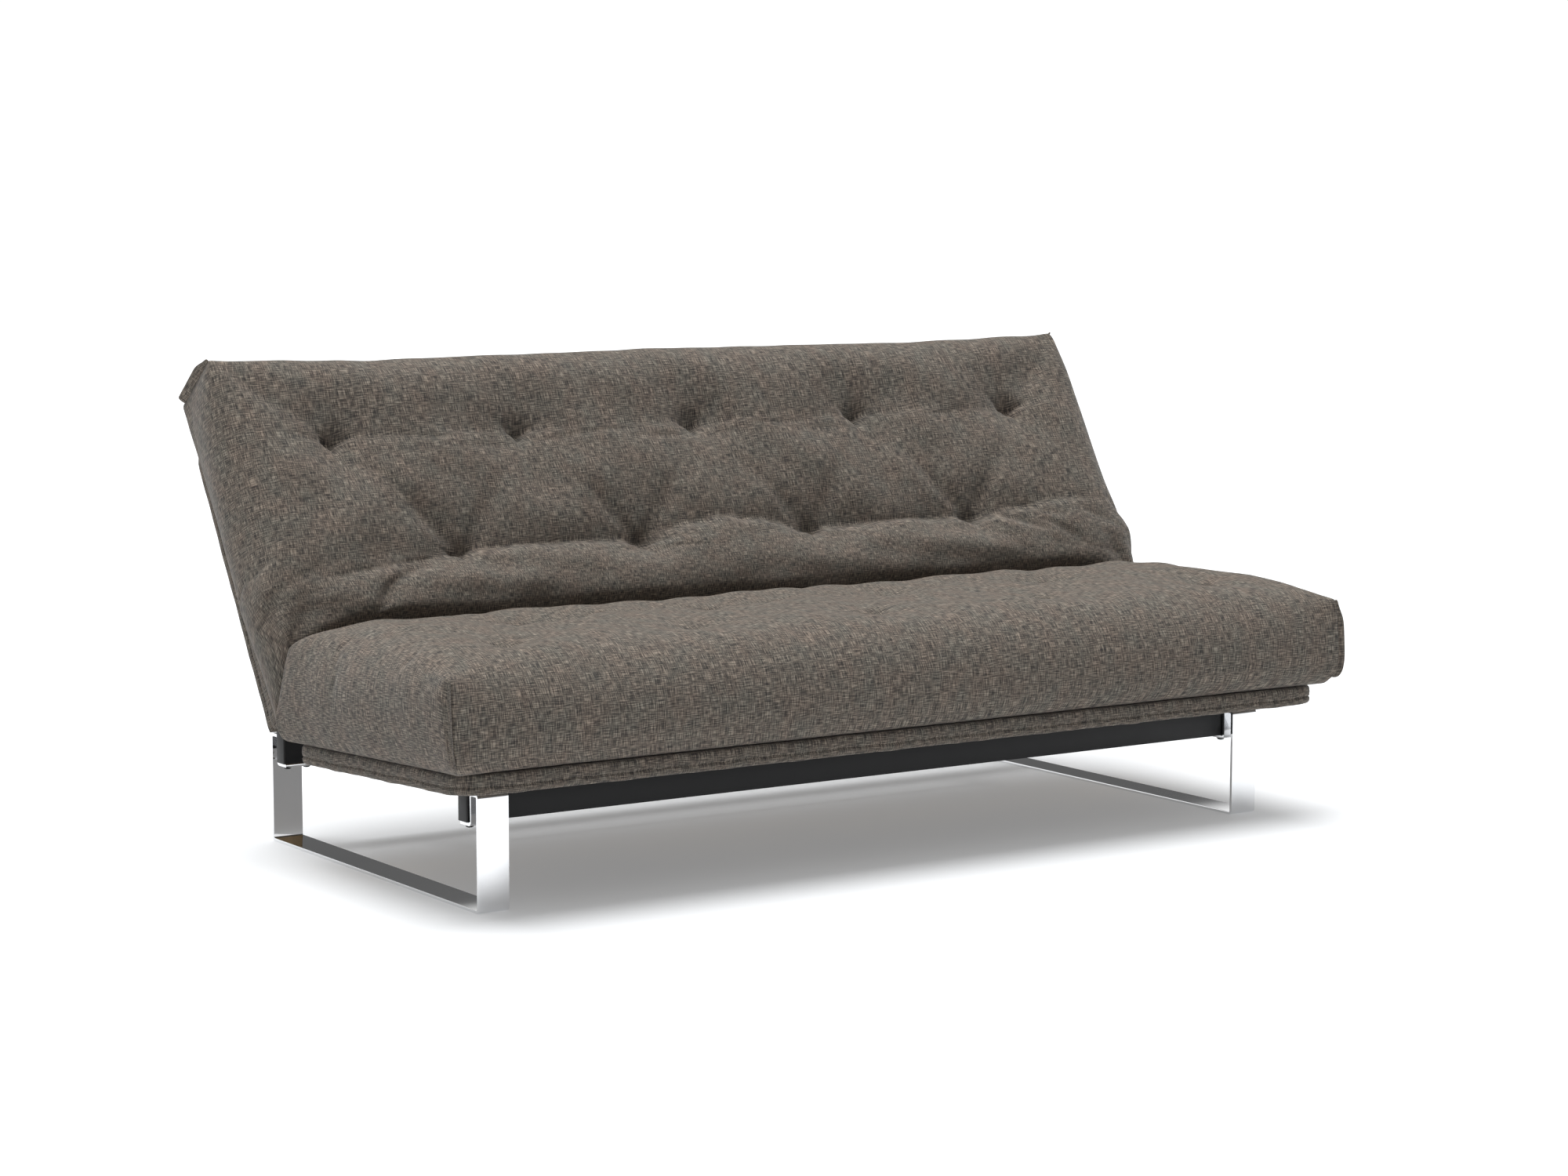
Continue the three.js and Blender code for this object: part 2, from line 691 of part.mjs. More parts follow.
const top = MATTRESS_HALF_DEPTH;
const mattressBack = mattressHalf([
  foldPoint(CREASE_IN_BACK, FOLD_RELIEF, -1),
  [FOLD_RELIEF + 12, TOUCH_GAP],
  [top - 10, TOUCH_GAP],
  [top + 4, 12],
  [top + 18, EDGE_PADDING - 8],
  [top + 6, EDGE_PADDING + 4],
  [top - 60, BACK_PADDING],
  [CREASE_IN_BACK.x + 30, BACK_PADDING],
  foldPoint(CREASE_IN_BACK, CREASE_IN_BACK.length() - 8, -1),
]);

add(seat, "mattress_seat", mattressSeat, FABRIC);
add(back, "mattress_back", mattressBack, FABRIC);

export default sofa;
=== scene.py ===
"""Looks of the futon sofa bed: tufted mattress, upholstered platforms, chrome legs and black rails.

Metres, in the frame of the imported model: X along the sofa, -Y to the front, +Z up.
"""

import json
import math

import bpy
import numpy as np
from mathutils import Euler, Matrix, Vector


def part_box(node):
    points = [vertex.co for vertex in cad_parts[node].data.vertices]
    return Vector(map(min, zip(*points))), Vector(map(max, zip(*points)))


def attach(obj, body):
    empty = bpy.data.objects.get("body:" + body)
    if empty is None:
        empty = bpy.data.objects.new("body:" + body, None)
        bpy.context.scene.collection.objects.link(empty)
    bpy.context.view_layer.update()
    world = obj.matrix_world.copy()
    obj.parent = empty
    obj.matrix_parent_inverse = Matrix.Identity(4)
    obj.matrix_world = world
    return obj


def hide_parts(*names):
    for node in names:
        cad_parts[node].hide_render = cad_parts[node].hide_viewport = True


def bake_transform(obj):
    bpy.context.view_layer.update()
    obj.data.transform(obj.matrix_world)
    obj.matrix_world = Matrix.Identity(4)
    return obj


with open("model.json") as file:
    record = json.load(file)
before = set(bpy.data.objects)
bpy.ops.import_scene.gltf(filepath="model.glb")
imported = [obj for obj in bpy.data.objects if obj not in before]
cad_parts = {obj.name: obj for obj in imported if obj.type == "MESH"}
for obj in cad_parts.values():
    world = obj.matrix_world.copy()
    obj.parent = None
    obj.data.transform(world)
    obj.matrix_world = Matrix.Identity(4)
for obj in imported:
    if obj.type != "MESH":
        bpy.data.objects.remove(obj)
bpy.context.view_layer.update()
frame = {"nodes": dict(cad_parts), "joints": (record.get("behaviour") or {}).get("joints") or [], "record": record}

# ---- The places that everything is worked out from ----
JOINTS = {joint["name"]: joint for joint in frame["joints"]}
HINGE = np.array(JOINTS["back_recline"]["pos_m"])
SEAT_TILT = math.radians(JOINTS["seat_swing"]["range_deg"][1])
BACK_LEAN = math.radians(JOINTS["back_recline"]["range_deg"][1]) - SEAT_TILT


def plane_axes(slope):
    """Along the platform, away from the hinge line, and out of its upper face."""
    along = np.array([0.0, math.cos(slope), math.sin(slope)])
    out = np.array([0.0, -math.sin(slope), math.cos(slope)])
    return along, out


SEAT_AXES = plane_axes(-SEAT_TILT)
BACK_AXES = plane_axes(BACK_LEAN)


def place(axes, x, along, out):
    """Points given along the sofa, along a platform and out of it, in the model's frame."""
    x, along, out = np.broadcast_arrays(x, along, out)
    points = HINGE + along[..., None] * axes[0] + out[..., None] * axes[1]
    points[..., 0] = x
    return points


# ---- Mesh helpers ----
def new_object(name, mesh):
    made = bpy.data.objects.new(name, mesh)
    bpy.context.collection.objects.link(made)
    return made


def mesh_from(name, points, faces):
    mesh = bpy.data.meshes.new(name)
    mesh.from_pydata([tuple(p) for p in points], [], [tuple(f) for f in faces])
    mesh.update()
    return mesh


def coordinates(mesh):
    flat = np.empty(len(mesh.vertices) * 3)
    mesh.vertices.foreach_get("co", flat)
    return flat.reshape(-1, 3)


def set_coordinates(mesh, points):
    mesh.vertices.foreach_set("co", np.asarray(points, float).ravel())
    mesh.update()


def apply_modifiers(obj):
    """Leaves the object with the mesh that its modifiers made, and no modifiers."""
    depsgraph = bpy.context.evaluated_depsgraph_get()
    made = bpy.data.meshes.new_from_object(obj.evaluated_get(depsgraph))
    obj.modifiers.clear()
    obj.data = made


def shade_smooth(mesh):
    mesh.polygons.foreach_set("use_smooth", np.ones(len(mesh.polygons), bool))
    mesh.update()


def smooth_step(value):
    value = np.clip(value, 0.0, 1.0)
    return value * value * (3.0 - 2.0 * value)


# ---- Materials ----
def new_material(name):
    material = bpy.data.materials.new(name)
    material.use_nodes = True
    return material, material.node_tree, material.node_tree.nodes["Principled BSDF"]


def add_node(tree, kind, settings=None, **inputs):
    node = tree.nodes.new(kind)
    for key, value in (settings or {}).items():
        setattr(node, key, value)
    for key, value in inputs.items():
        socket = node.inputs[key.replace("_", " ")]
        if isinstance(value, bpy.types.NodeSocket):
            tree.links.new(value, socket)
        else:
            socket.default_value = value
    return node


def math_node(tree, operation, a, b):
    node = tree.nodes.new("ShaderNodeMath")
    node.operation = operation
    for socket, value in zip(node.inputs, (a, b)):
        if isinstance(value, bpy.types.NodeSocket):
            tree.links.new(value, socket)
        else:
            socket.default_value = value
    return node.outputs[0]


# The sockets of a Mix node that mixes colours.
MIX_FACTOR, MIX_A, MIX_B = 0, 6, 7
MIX_RESULT = 2


def mix_colours(tree, factor, a, b, blend_type="MIX"):
    node = tree.nodes.new("ShaderNodeMix")
    node.data_type = "RGBA"
    node.blend_type = blend_type
    for index, value in ((MIX_FACTOR, factor), (MIX_A, a), (MIX_B, b)):
        if isinstance(value, bpy.types.NodeSocket):
            tree.links.new(value, node.inputs[index])
        else:
            node.inputs[index].default_value = value
    return node.outputs[MIX_RESULT]


def stretched_noise(tree, coordinate, across, along, detail, offset=(0.0, 0.0, 0.0)):
    """Noise with its marks drawn out along one direction of the cloth; scales are per metre."""
    mapping = add_node(tree, "ShaderNodeMapping", Vector=coordinate)
    mapping.inputs["Scale"].default_value = (across, along, 1.0)
    mapping.inputs["Location"].default_value = offset
    noise = add_node(tree, "ShaderNodeTexNoise", Vector=mapping.outputs[0])
    noise.inputs["Scale"].default_value = 1.0
    noise.inputs["Detail"].default_value = detail
    noise.inputs["Roughness"].default_value = 0.6
    return noise.outputs["Fac"]


def average(tree, a, b):
    return math_node(tree, "MULTIPLY", math_node(tree, "ADD", a, b), 0.5)


# Marks in the cloth per metre, across a yarn and along it, and how much each counts in the tone.
YARN_ACROSS, YARN_ALONG, YARN_SHARE = 740.0, 54.0, 0.70
FINE_ACROSS, FINE_ALONG, FINE_SHARE = 1200.0, 160.0, 0.30
TINT_ACROSS, TINT_ALONG = 24.0, 16.0  # broad, faint patches that are cooler or warmer

# Where each colour of the yarns lies on the ramp, from charcoal to pale.
YARN_COLOURS = (
    (0.39, (0.036, 0.033, 0.032)),
    (0.45, (0.070, 0.062, 0.055)),
    (0.50, (0.102, 0.089, 0.077)),
    (0.56, (0.160, 0.138, 0.116)),
    (0.645, (0.280, 0.244, 0.203)),
)
COOL_TINT = (0.34, (0.93, 0.97, 0.96, 1.0))
WARM_TINT = (0.66, (1.06, 0.99, 0.95, 1.0))


def melange_fabric(name, tone=1.0):
    """A plain weave of mixed yarns: warm grey, with pale and charcoal slubs both ways."""
    material, tree, shader = new_material(name)
    cloth = add_node(tree, "ShaderNodeUVMap", {"uv_map": "weave"}).outputs[0]
    warp = stretched_noise(tree, cloth, YARN_ACROSS, YARN_ALONG, detail=0.0)
    weft = stretched_noise(tree, cloth, YARN_ALONG, YARN_ACROSS, detail=0.0, offset=(3.1, 7.7, 0.0))
    fine_warp = stretched_noise(tree, cloth, FINE_ACROSS, FINE_ALONG, detail=1.0, offset=(9.2, 1.4, 0.0))
    fine_weft = stretched_noise(tree, cloth, FINE_ALONG, FINE_ACROSS, detail=1.0, offset=(5.5, 2.6, 0.0))
    yarn = average(tree, warp, weft)
    fine = average(tree, fine_warp, fine_weft)
    yarn_part = math_node(tree, "MULTIPLY", yarn, YARN_SHARE)
    fine_part = math_node(tree, "MULTIPLY", fine, FINE_SHARE)
    shade = math_node(tree, "ADD", yarn_part, fine_part)

    ramp = tree.nodes.new("ShaderNodeValToRGB")
    tree.links.new(shade, ramp.inputs[0])
    stops = ramp.color_ramp
    while len(stops.elements) < len(YARN_COLOURS):
        stops.elements.new(0.5)
    for element, (position, colour) in zip(stops.elements, YARN_COLOURS):
        element.position = position
        element.color = (*(tone * channel for channel in colour), 1.0)

    tint_noise = stretched_noise(tree, cloth, TINT_ACROSS, TINT_ALONG, detail=3.0, offset=(1.0, 4.0, 0.0))
    tint = tree.nodes.new("ShaderNodeValToRGB")
    tree.links.new(tint_noise, tint.inputs[0])
    for element, (position, tint_colour) in zip(tint.color_ramp.elements, (COOL_TINT, WARM_TINT)):
        element.position = position
        element.color = tint_colour
    colour = mix_colours(tree, 1.0, ramp.outputs[0], tint.outputs[0], "MULTIPLY")
    tree.links.new(colour, shader.inputs["Base Color"])

    shader.inputs["Roughness"].default_value = 0.92
    shader.inputs["Specular IOR Level"].default_value = 0.15
    shader.inputs["Sheen Weight"].default_value = 0.10
    shader.inputs["Sheen Roughness"].default_value = 0.45
    bump = add_node(tree, "ShaderNodeBump", Height=yarn)
    bump.inputs["Strength"].default_value = 0.5
    bump.inputs["Distance"].default_value = 0.001
    tree.links.new(bump.outputs[0], shader.inputs["Normal"])
    return material


def surface_noise(tree, scale, detail=3.0):
    coordinate = add_node(tree, "ShaderNodeTexCoord").outputs["Object"]
    noise = add_node(tree, "ShaderNodeTexNoise", Vector=coordinate)
    noise.inputs["Scale"].default_value = scale
    noise.inputs["Detail"].default_value = detail
    return noise.outputs["Fac"]


def hard_surface(name, dark, light, rough_low, rough_high, metallic, grain=35.0, bump_height=0.0, shine=0.5):
    """Paint, plating or plastic, with its tone and roughness wandering slightly over the surface."""
    material, tree, shader = new_material(name)
    wander = surface_noise(tree, grain)
    colour = mix_colours(tree, wander, (*dark, 1.0), (*light, 1.0))
    tree.links.new(colour, shader.inputs["Base Color"])
    roughness = tree.nodes.new("ShaderNodeMapRange")
    tree.links.new(wander, roughness.inputs["Value"])
    roughness.inputs["To Min"].default_value = rough_low
    roughness.inputs["To Max"].default_value = rough_high
    tree.links.new(roughness.outputs[0], shader.inputs["Roughness"])
    shader.inputs["Metallic"].default_value = metallic
    shader.inputs["Specular IOR Level"].default_value = shine
    if bump_height:
        bump = add_node(tree, "ShaderNodeBump", Height=surface_noise(tree, 900.0, 1.0))
        bump.inputs["Distance"].default_value = bump_height
        bump.inputs["Strength"].default_value = 0.3
        tree.links.new(bump.outputs[0], shader.inputs["Normal"])
    return material


def plywood(name):
    """Birch ply: long pale grain."""
    material, tree, shader = new_material(name)
    coordinate = add_node(tree, "ShaderNodeTexCoord").outputs["Object"]
    mapping = add_node(tree, "ShaderNodeMapping", Vector=coordinate)
    mapping.inputs["Scale"].default_value = (3.0, 60.0, 60.0)
    grain = add_node(tree, "ShaderNodeTexNoise", Vector=mapping.outputs[0])
    grain.inputs["Scale"].default_value = 2.0
    grain.inputs["Detail"].default_value = 6.0
    colour = mix_colours(tree, grain.outputs["Fac"], (0.30, 0.19, 0.09, 1.0), (0.55, 0.40, 0.23, 1.0))
    tree.links.new(colour, shader.inputs["Base Color"])
    shader.inputs["Roughness"].default_value = 0.6
    return material


MATERIALS = {
    "mattress_fabric": melange_fabric("mattress_fabric"),
    "cover_fabric": melange_fabric("cover_fabric", tone=0.92),
    "chrome": hard_surface(
        "chrome",
        dark=(0.78, 0.79, 0.80),
        light=(0.84, 0.84, 0.85),
        rough_low=0.035,
        rough_high=0.07,
        metallic=1.0,
        grain=9.0,
    ),
    "black_steel": hard_surface(
        "black_steel",
        dark=(0.005, 0.005, 0.0055),
        light=(0.008, 0.008, 0.0085),
        rough_low=0.38,
        rough_high=0.5,
        metallic=0.0,
        bump_height=0.0002,
        shine=0.22,
    ),
    "zinc_steel": hard_surface(
        "zinc_steel",
        dark=(0.42, 0.43, 0.44),
        light=(0.58, 0.58, 0.57),
        rough_low=0.28,
        rough_high=0.5,
        metallic=1.0,
        grain=60.0,
    ),
    "black_plastic": hard_surface(
        "black_plastic",
        dark=(0.009, 0.009, 0.009),
        light=(0.014, 0.014, 0.014),
        rough_low=0.5,
        rough_high=0.65,
        metallic=0.0,
        bump_height=0.0003,
    ),
    "rubber": hard_surface(
        "rubber",
        dark=(0.014, 0.014, 0.014),
        light=(0.022, 0.022, 0.022),
        rough_low=0.75,
        rough_high=0.9,
        metallic=0.0,
    ),
    "plywood": plywood("plywood"),
}

SLOT_OF = {part["node"]: part["material_slot"] for part in frame["record"]["subparts"]}


# ---- Hard parts: the CAD nodes with their materials, some with eased edges ----
# How far the edges are rounded over.
LEG_EDGE = 0.0008
CAP_EDGE = 0.0012
RAIL_EDGE = 0.0015


def dress_nodes():
    for name, node in frame["nodes"].items():
        node.data.materials.clear()
        node.data.materials.append(MATERIALS[SLOT_OF[name]])


def eased_copy(node_name, width, body, name):
    """The node's own shape with its sharp edges rounded over, standing for the node."""
    source = frame["nodes"][node_name]
    mesh = source.data.copy()
    made = new_object(name, mesh)
    weld = made.modifiers.new("weld", "WELD")
    weld.merge_threshold = 1e-5
    flatten = made.modifiers.new("flatten", "DECIMATE")
    flatten.decimate_type = "DISSOLVE"
    flatten.angle_limit = math.radians(1.0)
    ease = made.modifiers.new("ease", "BEVEL")
    ease.width = width
    ease.segments = 2
    ease.limit_method = "ANGLE"
    ease.angle_limit = math.radians(50.0)
    apply_modifiers(made)
    made.data.materials.clear()
    made.data.materials.append(MATERIALS[SLOT_OF[node_name]])
    shade_smooth(made.data)
    made.data.set_sharp_from_angle(angle=math.radians(28.0))
    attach(made, body)
    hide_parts(node_name)


def make_hard_parts():
    dress_nodes()
    for side in ("left", "right"):
        eased_copy(f"sled_leg_{side}", LEG_EDGE, "frame", f"sled_leg_{side}_eased")
        for rail in ("front", "rear"):
            eased_copy(f"rail_cap_{rail}_{side}", CAP_EDGE, "frame", f"rail_cap_{rail}_{side}_eased")
    for rail in ("front", "rear"):
        eased_copy(f"{rail}_rail", RAIL_EDGE, "frame", f"{rail}_rail_eased")


# ---- Mattress ----
# A place on it is x along the sofa, v across the cloth from front edge over the fold to top edge,
# and w from the underside, 0, up its sides to the top, 1.
HALF_LENGTH = 1.0
HALF_WIDTH = 0.70
CELLS_LONG = 184
CELLS_WIDE = 128
CELLS_HIGH = 14
EDGE_HEIGHT = 0.152

TUFT_PITCH = 0.40  # between tufts in a row
ROW_PITCH = 0.27  # between rows, on the cloth
TUFT_SHIFT = 0.012  # of the back's tufts to the right
TUFT_STRENGTH = {-2: 0.55, -1: 0.55, 1: 0.75, 2: 1.0}  # of each row's pull, from the front edge up
POCKET_DEPTH = 0.030  # of the pit at a tuft
HALO_DEPTH = 0.009  # of the wide hollow round it
DRAG_DEPTH = 0.013  # how much deeper a drag line is at its inner tuft than at its outer one

SAME_PLACE = 1e-6  # places nearer to each other than this are the same

# Stations on the cloth, and where each lies: along the platform and out of it.
SEAT_STATIONS = {
    "cloth": (-0.70, -0.64, -0.54, -0.27, -0.10, -0.035, 0.0),
    "along": (-0.695, -0.628, -0.520, -0.255, -0.125, -0.080, -0.0626),
    "out": (0.170, 0.197, 0.207, 0.208, 0.213, 0.206, 0.174),
}
BACK_STATIONS = {
    "cloth": (0.0, 0.035, 0.27, 0.54, 0.66, 0.70),
    "along": (0.1221, 0.152, 0.280, 0.536, 0.673, 0.722),
    "out": (0.139, 0.168, 0.162, 0.162, 0.160, 0.152),
}
FOLD_BOTTOM = 0.180  # from the hinge line up to the bottom of the crease
FOLD_GAP = 0.004  # between the fold's plane and the cloth on either side of it
FOLD_UP = plane_axes(math.radians(107.3))[0]  # from the hinge line to the crease
FOLD_ACROSS = np.array([0.0, FOLD_UP[2], -FOLD_UP[1]])
SEAT_FOOT = (-0.700, 0.0)  # where the underside starts and ends, along the platform
BACK_FOOT = (0.0, 0.704)

# The side turns under at its foot: height up the side, and how far it is drawn in there.
SIDE_HEIGHTS = (0.0, 0.07, 0.15, 0.26, 0.40, 1.0)
SIDE_INSETS = (0.024, 0.011, 0.004, 0.001, 0.0, 0.0)
SIDE_HOLLOW = 0.006  # how far the sides are drawn in between the corner seams, before filling
BACK_END_BULGE = 0.026  # how far the ends of the back swell past that, at their top
BACK_TOP_BULGE = 0.018  # and its top edge
ROLL_END_BULGE = 0.012  # and, further, the ends of the roll
FOLD_HOLLOW = 0.016  # how far the ends are drawn in where the fold comes down them
SEAM_PINCH = {"seat": 0.011, "back": 0.005}  # how far the cloth is drawn in under a corner seam
SEAM_STAND = 0.017  # how far the seam's flange stands out from there
FLANGE_TAPER = 0.65  # how much of that is lost at its upper end
# Across the flange: how far out, and half its thickness there.
FLANGE = ((-0.004, 0.0026), (0.006, 0.0022), (SEAM_STAND - 0.002, 0.0020), (SEAM_STAND, 0.0009))
FLANGE_WEAVE = (0.008, 0.011)  # how far the weave runs from point to point, across it and along it

RIM_BLEND = 0.06  # how fast the sides swell or hollow away from a corner
END_EASE = 0.10  # how far in from the ends the tufts' pull is full
FOLD_EASE = 0.10  # how far to each side of the fold the tufts' pull is less
ROLL_MIDDLE = 0.17  # on the cloth
ROLL_SPREAD = 0.12

# The roll over the crease: its height, and how far its upper lip rises between the lower tufts.
ROLL_HEIGHT = 0.022
ROLL_CROWN = 0.45  # where it is highest, from its lip, 0, to its foot, 1
ROLL_VALLEY = 0.010  # how far the cloth above its lip is drawn in
ROLL_FADE = 0.22  # how far in from the ends it is at its full height
ROLL_FOOT = 0.138
LIP_AT_ROW = 0.284
LIP_RISES = {-2: -0.050, -1: 0.005, 0: 0.030, 1: 0.004, 2: 0.020}


def tufts():
    """Every tuft as its place along the sofa and on the cloth; the fold's own row is the crease."""
    made = []
    for row in (-2, -1, 1, 2):
        first = 2.0 if row % 2 == 0 else 1.5
        count = 5 if row % 2 == 0 else 4
        shift = TUFT_SHIFT if row > 0 else 0.0
        made += [(TUFT_PITCH * (i - first) + shift, row * ROW_PITCH) for i in range(count)]
    return made


TUFTS = tufts()


def drag_lines():
    """From each tuft of the inner rows to its neighbours in the outer rows."""
    reach = math.hypot(TUFT_PITCH / 2, ROW_PITCH) * 1.05
    inner = [tuft for tuft in TUFTS if abs(abs(tuft[1]) - ROW_PITCH) < SAME_PLACE]
    outer = [tuft for tuft in TUFTS if abs(abs(tuft[1]) - 2 * ROW_PITCH) < SAME_PLACE]
    return [(a, b) for a in inner for b in outer if math.dist(a, b) < reach]


DRAG_LINES = drag_lines()


def distance_to_line(x, v, a, b):
    """Distance from each point to a drag line, and how far along the line it lies, from 0 to 1."""
    a, b = np.array(a), np.array(b)
    run = b - a
    t = np.clip(((x - a[0]) * run[0] + (v - a[1]) * run[1]) / (run @ run), 0.0, 1.0)
    return np.hypot(x - a[0] - t * run[0], v - a[1] - t * run[1]), t


def tuft_dip(x, v):
    """How far the top of the mattress is drawn in, at a place on the cloth."""
    dip = np.zeros(np.broadcast(x, v).shape)
    for tuft_x, tuft_v in TUFTS:
        r = np.hypot(x - tuft_x, v - tuft_v)
        above = v > tuft_v
        strength = TUFT_STRENGTH[round(tuft_v / ROW_PITCH)]
        radius = np.where(above, 0.031, 0.020)
        pocket = POCKET_DEPTH * smooth_step(1.0 - r / (1.35 * radius))
        halo = HALO_DEPTH * np.exp(-((r / np.where(above | (tuft_v < 0), 0.085, 0.035)) ** 2))
        dip = np.maximum(dip, strength * (pocket + halo))
    for a, b in DRAG_LINES:
        r, t = distance_to_line(x, v, a, b)
        strength = 0.6 if a[1] < 0 else 1.0
        depth = strength * (DRAG_DEPTH * (1.0 - t) ** 1.3 + 0.003)
        dip = np.maximum(dip, depth * np.exp(-((r / (0.016 + 0.022 * t)) ** 2)))
    return dip


def lip_line(x):
    """How far up the back the roll reaches, at each place along the sofa."""
    lip = np.full(x.shape, LIP_AT_ROW)
    for bay, rise in LIP_RISES.items():
        t = (x / TUFT_PITCH - bay + 0.5).clip(0.0, 1.0)
        if abs(bay) == 2:
            lip += rise * np.sin(math.pi / 2 * (t if bay > 0 else 1.0 - t))
        else:
            lip += rise * np.sin(math.pi * t)
    return lip


def roll_bulge(x, along):
    """How far the roll stands out of the back; just above its lip the cloth is drawn in a little."""
    lip = lip_line(x)
    u = (lip - along) / (lip - ROLL_FOOT)
    upper = np.sqrt(np.clip(1.0 - ((u - ROLL_CROWN) / ROLL_CROWN) ** 2, 0.0, 1.0))
    lower = np.cos(np.clip((u - ROLL_CROWN) / (1.0 - ROLL_CROWN), 0.0, 1.0) * math.pi / 2) ** 0.7
    bulge = np.where(u < ROLL_CROWN, upper, lower) * (u > 0) * (u < 1)
    valley = ROLL_VALLEY * np.exp(-np.abs(along - lip) / 0.035) * (u <= 0)
    fade = smooth_step((HALF_LENGTH - np.abs(x)) / ROLL_FADE)
    return (ROLL_HEIGHT * bulge - valley) * fade


def mattress_points(x, v, w):
    """The mattress before it is filled: sides, ends, fold, roll and tufts."""
    points = np.empty((len(x), 3))
    end_ease = smooth_step((HALF_LENGTH - np.abs(x)) / END_EASE)
    on_back = smooth_step((v + 0.10) / 0.30)
    inset = np.interp(w, SIDE_HEIGHTS, SIDE_INSETS) * (1.0 - smooth_step((v + 0.10) / 0.75))
    from_end = HALF_LENGTH - np.abs(x)
    from_edge = HALF_WIDTH - np.abs(v)
    between_ends = 1.0 - np.exp(-from_end / RIM_BLEND)
    between_edges = 1.0 - np.exp(-from_edge / RIM_BLEND)
    lower_back = np.exp(-(((v - ROLL_MIDDLE) / ROLL_SPREAD) ** 2))
    end_bulge = (BACK_END_BULGE * on_back + ROLL_END_BULGE * lower_back) * smooth_step(w / 0.7)
    hollow_ends = (SIDE_HOLLOW - end_bulge) * between_edges * np.abs(x) ** 8
    hollow_edges = (SIDE_HOLLOW - BACK_TOP_BULGE * on_back) * between_ends * (np.abs(v) / HALF_WIDTH) ** 8
    hollow_ends += FOLD_HOLLOW * np.exp(-((v / 0.022) ** 2)) * smooth_step((w - 0.1) / 0.5) * np.abs(x) ** 60
    along_x = x * (1.0 - inset / HALF_LENGTH) - np.sign(x) * hollow_ends
    for stations, foot, axes, chosen in (
        (SEAT_STATIONS, SEAT_FOOT, SEAT_AXES, v <= 0),
        (BACK_STATIONS, BACK_FOOT, BACK_AXES, v > 0),
    ):
        xs, vs, ws, ease = along_x[chosen], v[chosen], w[chosen], end_ease[chosen]
        along_top = np.interp(vs, stations["cloth"], stations["along"])
        crown = np.interp(vs, stations["cloth"], stations["out"])
        low = crown - 0.002
        near_fold = smooth_step(1.0 - np.abs(vs) / FOLD_EASE)
        out_top = (low + (crown - low) * ease) * (1 - near_fold) + crown * near_fold
        out_top = out_top - tuft_dip(xs, vs) * ease * (1 - near_fold)
        if stations is BACK_STATIONS:
            out_top = out_top + roll_bulge(xs, along_top)
        along_foot = np.interp(vs, (stations["cloth"][0], stations["cloth"][-1]), foot)
        along = along_foot + (along_top - along_foot) * ws
        reach = np.abs(vs) / HALF_WIDTH
        along = along - np.sign(vs) * (inset[chosen] * reach + hollow_edges[chosen])
        out = out_top * ws + 0.0006
        points[chosen] = place(axes, xs, along, out)
    return points


def gathered(places, pitch):
    """Evenly spaced places, moved so that they lie closer together round every multiple of the pitch."""
    return places - 0.45 * pitch / (2 * math.pi) * np.sin(2 * math.pi * places / pitch)


def mattress_grid():
    """A closed box of quads over the cloth places, with weave coordinates for each face."""
    ni, nj, nk = CELLS_LONG, CELLS_WIDE, CELLS_HIGH
    lines_x = gathered(np.linspace(-HALF_LENGTH, HALF_LENGTH, ni + 1), TUFT_PITCH / 2)
    lines_v = gathered(np.linspace(-HALF_WIDTH, HALF_WIDTH, nj + 1), ROW_PITCH)
    lines_v *= HALF_WIDTH / lines_v[-1]
    index = {}
    places = []
    faces = []
    weaves = []
    sides = []

    def corner(key):
        if key not in index:
            index[key] = len(places)
            places.append(key)
        return index[key]

    def cloth(side, i, j, k):
        x, v = lines_x[i], lines_v[j]
        drop = EDGE_HEIGHT * (1 - k / nk)
        return {
            "top": (x, v),
            "under": (x, v + 3.0),
            "front": (x, v - drop),
            "rear": (x, v + drop),
            "left": (x - drop, v),
            "right": (x + drop, v),
        }[side]

    def add(side, quad):
        faces.append([corner(key) for key in quad])
        weaves.extend(cloth(side, *key) for key in quad)
        sides.append(side)

    for i in range(ni):
        for j in range(nj):
            add("top", [(i, j, nk), (i + 1, j, nk), (i + 1, j + 1, nk), (i, j + 1, nk)])
            add("under", [(i, j, 0), (i, j + 1, 0), (i + 1, j + 1, 0), (i + 1, j, 0)])
    for i in range(ni):
        for k in range(nk):
            add("front", [(i, 0, k), (i + 1, 0, k), (i + 1, 0, k + 1), (i, 0, k + 1)])
            add("rear", [(i, nj, k), (i, nj, k + 1), (i + 1, nj, k + 1), (i + 1, nj, k)])
    for j in range(nj):
        for k in range(nk):
            add("left", [(0, j, k), (0, j, k + 1), (0, j + 1, k + 1), (0, j + 1, k)])
            add("right", [(ni, j, k), (ni, j + 1, k), (ni, j + 1, k + 1), (ni, j, k + 1)])
    places = np.array(places)
    x = lines_x[places[:, 0]]
    v = lines_v[places[:, 1]]
    w = places[:, 2] / nk
    return x, v, w, np.array(faces), np.array(weaves), np.array(sides)


def relax(points, faces, weight, rounds):
    """Draws each point towards the middle of its neighbours, by its weight."""
    pairs = np.vstack([faces[:, [a, (a + 1) % 4]] for a in range(4)])
    pairs = np.unique(np.sort(pairs, axis=1), axis=0)
    degree = np.bincount(pairs.ravel(), minlength=len(points))[:, None]
    for _ in range(rounds):
        total = np.zeros_like(points)
        np.add.at(total, pairs[:, 0], points[pairs[:, 1]])
        np.add.at(total, pairs[:, 1], points[pairs[:, 0]])
        points = points + 0.6 * weight[:, None] * (total / degree - points)
    return points


